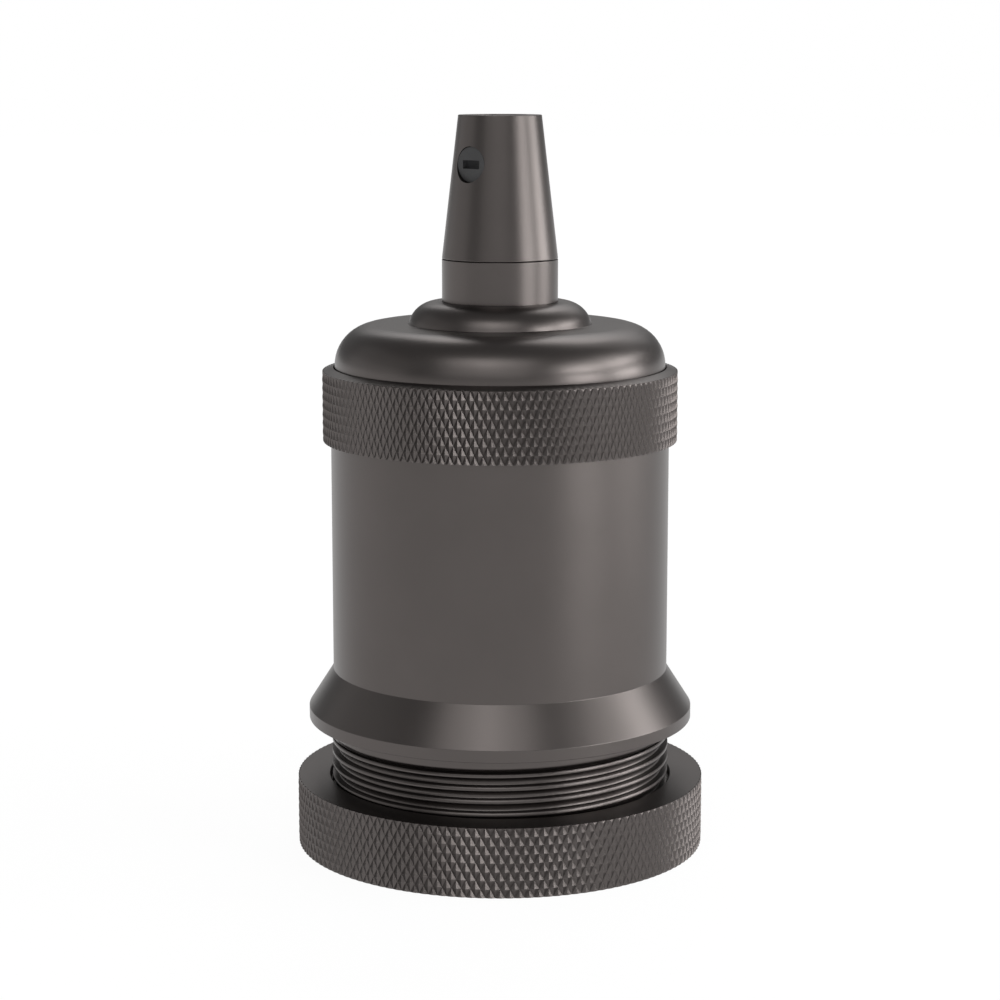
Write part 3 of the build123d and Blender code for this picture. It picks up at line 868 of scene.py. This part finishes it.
class Nodes:
    """Small helper that adds nodes to a tree and links them."""

    def __init__(self, tree: bpy.types.NodeTree) -> None:
        """Keeps the tree."""
        self.tree = tree

    def add(self, kind: str, **values: object) -> bpy.types.Node:
        """Adds a node and sets its plain properties.

        Args:
            kind: Blender's name of the node type.
            values: Properties of the node.

        Returns:
            The node.
        """
        node = self.tree.nodes.new(kind)
        for key, value in values.items():
            setattr(node, key, value)
        return node

    def link(self, source: bpy.types.NodeSocket, target: bpy.types.NodeSocket) -> None:
        """Joins two sockets."""
        self.tree.links.new(source, target)

    def math(self, operation: str, first: object, second: object) -> bpy.types.NodeSocket:
        """Adds a Math node on two sockets or numbers and returns its output."""
        node = self.add("ShaderNodeMath", operation=operation)
        for socket, value in zip(node.inputs, (first, second)):
            if isinstance(value, bpy.types.NodeSocket):
                self.link(value, socket)
            else:
                socket.default_value = value
        return node.outputs[0]

    def fill(self, node: bpy.types.Node, **values: object) -> None:
        """Sets inputs of a node by their names, with _ for a space."""
        for name, value in values.items():
            node.inputs[name.replace("_", " ")].default_value = value

    def mapped(self, source: bpy.types.NodeSocket, before: tuple[float, float],
               after: tuple[float, float], kind: str = "LINEAR") -> bpy.types.NodeSocket:
        """Maps a value from one range to another.

        Args:
            source: Socket of the value.
            before, after: Range that it has, and range that it gets.
            kind: Blender's name of the interpolation.

        Returns:
            Socket of the mapped value, which is held in its range.
        """
        node = self.add("ShaderNodeMapRange", interpolation_type=kind)
        self.fill(node, From_Min=before[0], From_Max=before[1], To_Min=after[0], To_Max=after[1])
        self.link(source, node.inputs["Value"])
        return node.outputs["Result"]


def turning_group() -> bpy.types.NodeTree:
    """Builds the node group for a turned and blasted surface.

    Fine rings come from noise over the distance from the axis and the height, and the blasted grain
    from noise over the object coordinates. The group puts out a slow mottle, the grain and a height.

    Returns:
        The node group.
    """
    tree = bpy.data.node_groups.new("turned_surface", "ShaderNodeTree")
    face = tree.interface
    for name in ("Ring Scale", "Grain Scale", "Mottle Scale", "Ring Share"):
        face.new_socket(name, in_out="INPUT", socket_type="NodeSocketFloat")
    for name in ("Mottle", "Grain", "Height"):
        face.new_socket(name, in_out="OUTPUT", socket_type="NodeSocketFloat")
    nodes = Nodes(tree)
    inputs, outputs = nodes.add("NodeGroupInput"), nodes.add("NodeGroupOutput")
    place = nodes.add("ShaderNodeTexCoord").outputs["Object"]
    split = nodes.add("ShaderNodeSeparateXYZ")
    nodes.link(place, split.inputs[0])
    squares = [nodes.math("MULTIPLY", split.outputs[axis], split.outputs[axis]) for axis in range(2)]
    flat = nodes.add("ShaderNodeCombineXYZ")
    nodes.link(nodes.math("POWER", nodes.math("ADD", *squares), 0.5), flat.inputs[0])
    nodes.link(split.outputs[2], flat.inputs[2])
    noises = {}
    kinds = (("Ring", flat.outputs[0], 2.0), ("Grain", place, 3.0), ("Mottle", place, 4.0))
    for name, vector, detail in kinds:
        noise = nodes.add("ShaderNodeTexNoise", noise_dimensions="3D")
        nodes.fill(noise, Detail=detail)
        nodes.link(vector, noise.inputs["Vector"])
        nodes.link(inputs.outputs[name + " Scale"], noise.inputs["Scale"])
        noises[name] = noise.outputs["Fac"]
    ring_part = nodes.math("MULTIPLY", noises["Ring"], inputs.outputs["Ring Share"])
    nodes.link(noises["Mottle"], outputs.inputs["Mottle"])
    nodes.link(noises["Grain"], outputs.inputs["Grain"])
    nodes.link(nodes.math("ADD", ring_part, noises["Grain"]), outputs.inputs["Height"])
    return tree


@dataclass(frozen=True)
class Finish:
    """One finish: its colours, gloss and the scale of its surface detail.

    Attributes:
        slot: Material slot of the record.
        dark, light: Colours in the low and the high parts of the mottle.
        metallic: 1 for metal.
        rough_low, rough_high: Least and greatest roughness.
        ring_scale, grain_scale, mottle_scale: Rings or cells for each metre.
        ring_share: Strength of rings beside grain.
        bump: Strength of the bump.
        bump_depth: Depth of the bump, in metres.
        coat: Weight of a clear coat or glaze.
        edge: Brightness of the reflection at grazing angles.
        variant: Ending of the material's name where a slot has a second finish. The knurled one is
        a lighter copy of the dark metal, which is painted light.
    """

    slot: Slot
    dark: tuple[float, float, float]
    light: tuple[float, float, float]
    metallic: float
    rough_low: float
    rough_high: float
    ring_scale: float = 9000.0
    grain_scale: float = 22000.0
    mottle_scale: float = 90.0
    ring_share: float = 0.5
    bump: float = 0.1
    bump_depth: float = 0.00001
    coat: float = 0.0
    edge: float = 1.0
    variant: str = ""

    @property
    def name(self) -> str:
        """Name of the material."""
        return self.slot.value + self.variant

    def material(self, group: bpy.types.NodeTree) -> bpy.types.Material:
        """Builds the material from the shared group.

        Args:
            group: The turned surface group.

        Returns:
            The material.
        """
        made = bpy.data.materials.new(self.name)
        made.use_nodes = True
        nodes = Nodes(made.node_tree)
        shader = made.node_tree.nodes["Principled BSDF"]
        surface = nodes.add("ShaderNodeGroup", node_tree=group)
        nodes.fill(surface, Ring_Scale=self.ring_scale, Grain_Scale=self.grain_scale,
                   Mottle_Scale=self.mottle_scale, Ring_Share=self.ring_share)
        tone = nodes.add("ShaderNodeValToRGB")
        elements = tone.color_ramp.elements
        for element, position, colour in zip(elements, MOTTLE_RANGE, (self.dark, self.light)):
            element.position = position
            element.color = (*colour, 1.0)
        nodes.link(surface.outputs["Mottle"], tone.inputs["Fac"])
        nodes.link(tone.outputs["Color"], shader.inputs["Base Color"])
        rough = nodes.mapped(surface.outputs["Grain"], GRAIN_RANGE, (self.rough_low, self.rough_high))
        nodes.link(rough, shader.inputs["Roughness"])
        bump = nodes.add("ShaderNodeBump")
        nodes.fill(bump, Strength=self.bump, Distance=self.bump_depth)
        nodes.link(surface.outputs["Height"], bump.inputs["Height"])
        nodes.link(bump.outputs["Normal"], shader.inputs["Normal"])
        nodes.fill(shader, Metallic=self.metallic, Specular_Tint=(self.edge, self.edge, self.edge, 1.0),
                   Coat_Weight=self.coat, Coat_Roughness=COAT_ROUGHNESS)
        return made


FINISHES = (
    Finish(Slot.DARK_METAL, (0.101, 0.0905, 0.0865), (0.108, 0.0965, 0.0925), 1.0, 0.31, 0.36,
           edge=0.90),
    # Painted light: a lighter copy of the same dark metal that brightens the knurled bands; only its
    # higher roughness belongs to the knurl.
    Finish(Slot.DARK_METAL, (0.113, 0.101, 0.097), (0.121, 0.108, 0.104), 1.0, 0.40, 0.45, edge=0.90,
           variant=KNURLED),
    Finish(Slot.BLACK_PLASTIC, (0.030, 0.030, 0.031), (0.040, 0.040, 0.041), 0.0, 0.50, 0.62,
           ring_share=0.0, grain_scale=9000.0, bump=0.25, bump_depth=0.00002),
    Finish(Slot.PLATED_STEEL, (0.52, 0.54, 0.56), (0.62, 0.63, 0.62), 1.0, 0.22, 0.36, bump=0.15),
    Finish(Slot.PORCELAIN, (0.80, 0.78, 0.73), (0.84, 0.82, 0.78), 0.0, 0.30, 0.40, ring_share=0.0,
           grain_scale=3000.0, mottle_scale=60.0, bump=0.10, bump_depth=0.00004, coat=0.7),
    Finish(Slot.SHELL_METAL, (0.66, 0.62, 0.54), (0.74, 0.70, 0.62), 1.0, 0.20, 0.30, bump=0.12),
    Finish(Slot.TERMINAL_BRASS, (0.68, 0.47, 0.19), (0.78, 0.57, 0.26), 1.0, 0.24, 0.36, bump=0.15),
    Finish(Slot.SPRING_BRONZE, (0.66, 0.40, 0.20), (0.76, 0.49, 0.27), 1.0, 0.24, 0.34, bump=0.12),
)


@dataclass(frozen=True)
class Panel:
    """Rectangular lamp that faces the middle of the holder, at a distance and a height in metres.

    Attributes:
        azimuth, width: Degrees from the front towards +X, and width in degrees.
        low, high: Elevations of its lower and upper edge, in degrees.
        level: Brightness of its face, where 1 is white.
    """

    name: str
    azimuth: float
    low: float
    high: float
    width: float
    level: float
    distance: float = 1.5
    aim: float = 0.045

    def build(self) -> None:
        """Adds the lamp. Its power is the level times its area times pi."""
        lamp = bpy.data.lights.new(self.name, "AREA")
        lamp.shape = "RECTANGLE"
        lamp.size = 2 * self.distance * math.tan(math.radians(self.width) / 2)
        lamp.size_y = 2 * self.distance * math.tan(math.radians(self.high - self.low) / 2)
        lamp.energy = self.level * lamp.size * lamp.size_y * math.pi
        turn, rise = math.radians(self.azimuth), math.radians((self.low + self.high) / 2)
        level = math.cos(rise)
        away = Vector((math.sin(turn) * level, -math.cos(turn) * level, math.sin(rise)))
        holder = linked(self.name, lamp)
        holder.location = away * self.distance + Vector((0, 0, self.aim))
        holder.rotation_euler = away.to_track_quat("Z", "Y").to_euler()
        holder.visible_camera = False


@dataclass
class Studio:
    """Camera, lamps, floor and world."""

    focal_pixels: float = 2514.0
    image_pixels: float = 1000.0
    sensor_mm: float = 36.0
    pitch_down: float = 9.79
    camera_distance: float = 0.2903
    camera_height: float = 0.09067
    clip: tuple[float, float] = (0.01, 20.0)
    floor_size: float = 6.0
    floor_tone: float = 0.9
    floor_glow: float = 1.02
    floor_share: float = 0.93
    floor_fade: tuple[float, float] = (0.03, 0.25)
    surround: float = 0.23
    horizon: float = 0.02
    panels: tuple[Panel, ...] = (
        Panel("front_high_left", -25, 40, 60, 30, 1.58),
        Panel("front_high_right", 5, 40, 60, 30, 1.45),
        Panel("front_low_left", -25, 12, 40, 30, 0.82),
        Panel("front_low_right", 5, 12, 40, 30, 0.95),
        Panel("left_low", -100, -2, 18, 60, 0.43),
        Panel("left_high", -100, 18, 40, 60, 0.22),
        Panel("right_front_low", 59, -2, 8, 26, 8.4),
        Panel("right_front_high", 59, 18, 28, 24, 8.3),
        Panel("right_middle_high", 78, 18, 28, 12, 3.0),
        Panel("right_back_low", 97, -2, 8, 26, 8.8),
        Panel("right_back_middle", 97, 8, 18, 26, 1.35),
        Panel("right_back_high", 97, 18, 28, 24, 7.2),
        Panel("right_top", 78, 28, 40, 55, 1.55),
        Panel("back_right", 117, 18, 28, 15, 2.1),
        Panel("back_right_high", 135, 28, 60, 16, 0.6),
        Panel("back_low", 172, 18, 28, 51, 0.55),
        Panel("back_middle", 172, 28, 40, 47, 1.4),
        Panel("back_high", 172, 40, 60, 36, 2.8),
    )

    def camera(self) -> None:
        """Places the camera of the photograph."""
        data = bpy.data.cameras.new("photo_camera")
        data.sensor_width = self.sensor_mm
        data.lens = self.sensor_mm * self.focal_pixels / self.image_pixels
        data.clip_start, data.clip_end = self.clip
        holder = linked("photo_camera", data)
        holder.location = (0.0, -self.camera_distance, self.camera_height)
        holder.rotation_euler = (math.radians(90.0 - self.pitch_down), 0.0, 0.0)
        bpy.context.scene.camera = holder

    def floor(self) -> None:
        """Adds a floor that shows white to the camera and to metal, and keeps the shadow."""
        half = self.floor_size / 2
        corners = [(-half, -half, 0), (half, -half, 0), (half, half, 0), (-half, half, 0)]
        mesh = bpy.data.meshes.new("floor")
        mesh.from_pydata(corners, [], [(0, 1, 2, 3)])
        board = linked("floor", mesh)
        made = bpy.data.materials.new("floor")
        made.use_nodes = True
        nodes = Nodes(made.node_tree)
        shader = made.node_tree.nodes["Principled BSDF"]
        nodes.fill(shader, Base_Color=(self.floor_tone, self.floor_tone, self.floor_tone, 1.0),
                   Roughness=self.floor_tone, Specular_IOR_Level=0.0)
        glow = nodes.add("ShaderNodeEmission")
        nodes.fill(glow, Strength=self.floor_glow)
        ray = nodes.add("ShaderNodeLightPath").outputs
        mirrored = nodes.math("MAXIMUM", ray["Is Glossy Ray"], ray["Is Transmission Ray"])
        seen = nodes.math("MAXIMUM", ray["Is Camera Ray"], mirrored)
        reach = nodes.add("ShaderNodeVectorMath", operation="LENGTH")
        nodes.link(nodes.add("ShaderNodeTexCoord").outputs["Object"], reach.inputs[0])
        shares = (self.floor_share, 1.0)
        fade = nodes.mapped(reach.outputs["Value"], self.floor_fade, shares, "SMOOTHSTEP")
        share = nodes.math("MULTIPLY", seen, fade)
        mix = nodes.add("ShaderNodeMixShader")
        for index, part in enumerate((share, shader.outputs[0], glow.outputs[0])):
            nodes.link(part, mix.inputs[index])
        nodes.link(mix.outputs[0], made.node_tree.nodes["Material Output"].inputs["Surface"])
        mesh.materials.append(made)
        board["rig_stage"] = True

    def world(self) -> None:
        """White for the camera and near the horizon, and a plain grey surround above."""
        scene = bpy.context.scene
        scene.world = scene.world or bpy.data.worlds.new("world")
        scene.world.use_nodes = True
        nodes = Nodes(scene.world.node_tree)
        back = scene.world.node_tree.nodes["Background"]
        ray = nodes.add("ShaderNodeLightPath").outputs
        split = nodes.add("ShaderNodeSeparateXYZ")
        nodes.link(nodes.add("ShaderNodeTexCoord").outputs["Generated"], split.inputs[0])
        rise = nodes.mapped(split.outputs[2], (0.0, self.horizon), (1.0, self.surround), "SMOOTHSTEP")
        seen = nodes.math("MAXIMUM", ray["Is Camera Ray"], ray["Is Transmission Ray"])
        nodes.fill(back, Color=(1.0, 1.0, 1.0, 1.0))
        nodes.link(nodes.math("MAXIMUM", seen, rise), back.inputs["Strength"])

    def build(self) -> None:
        """Adds everything and sets the view transform."""
        self.camera()
        self.floor()
        self.world()
        for panel in self.panels:
            panel.build()
        bpy.context.scene.view_settings.view_transform = "Standard"


class Holder:
    """The whole lamp holder: its pieces, their bodies and their finishes."""

    def __init__(self) -> None:
        """Builds the shared group and all materials, and reads each node's slot from the record."""
        group = turning_group()
        self.materials = {finish.name: finish.material(group) for finish in FINISHES}
        record = frame["record"]
        self.slots = {part["node"]: part["material_slot"] for part in record["subparts"]}
        bodies = record["behaviour"]["bodies"]
        self.bodies = {node: body for body, nodes in bodies.items() for node in nodes}

    def dress(self, piece: bpy.types.Object, node: str, variants: tuple[str, ...] = ("",)) -> None:
        """Gives a piece the finish, body and place of the node that it stands for.

        Args:
            piece: The new piece.
            node: The node.
            variants: Endings of its finishes' names, in the order of its material indices.
        """
        for variant in variants:
            piece.data.materials.append(self.materials[self.slots[node] + variant])
        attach(piece, self.bodies[node])
        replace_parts(piece, node)
        faces = len(piece.data.polygons)
        log.info("piece %s on body %s, %d faces", piece.name, self.bodies[node], faces)

    def rings(self) -> None:
        """Builds the knurled rings. The cap ring ends in a slope over its band."""
        shade, cap, slope = span_of("shade_ring"), span_of("cap_ring"), 0.42
        band = Span(cap.radius, cap.low, cap.high - slope)
        shade_hole = SteppedHole(mouth_radius=20.15, step_height=shade.high - 1.0, bore_radius=19.95,
                                 corner_radii=(0.0, 0.0, 0.0, 0.05, 0.05, 0.03, 0.03, 0.0))
        cap_hole = SteppedHole(mouth_radius=19.27, step_height=55.2, bore_radius=19.72,
                               corner_radii=(0.0, 0.06, 0.05, 0.03, 0.05, 0.03, 0.03, 0.0))
        for node, reach, inside in (("shade_ring", shade, shade_hole.outline(shade, shade.high)),
                                    ("cap_ring", band, cap_hole.outline(band, cap.high))):
            # The knurled bands get the lighter copy of the dark metal, which is painted light.
            self.dress(KnurledRing(node, reach, inside).build(), node, ("", KNURLED))

    def turned_pieces(self) -> None:
        """Builds the plain turned pieces of the outside and the lamp's shell."""
        turned = {
            "sleeve": Sleeve(), "dome_cap": DomeCap(), "neck_spacer": Neck(),
            "cord_grip_cone": GripCone(), "screw_shell": LampShell(),
        }
        for node, shape in turned.items():
            self.dress(shape.build(), node)

    def inner_pieces(self) -> None:
        """Dresses the rest: smooth copies of the nodes that keep their shape."""
        done = {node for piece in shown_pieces() for node in piece.get("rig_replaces", [])}
        for node in sorted(set(self.slots) - done):
            self.dress(smoothed_copy(node), node)


def main() -> None:
    """Builds the studio and the holder in order."""
    Studio().build()
    holder = Holder()
    holder.rings()
    holder.turned_pieces()
    holder.inner_pieces()


if __name__ == "__main__":
    main()
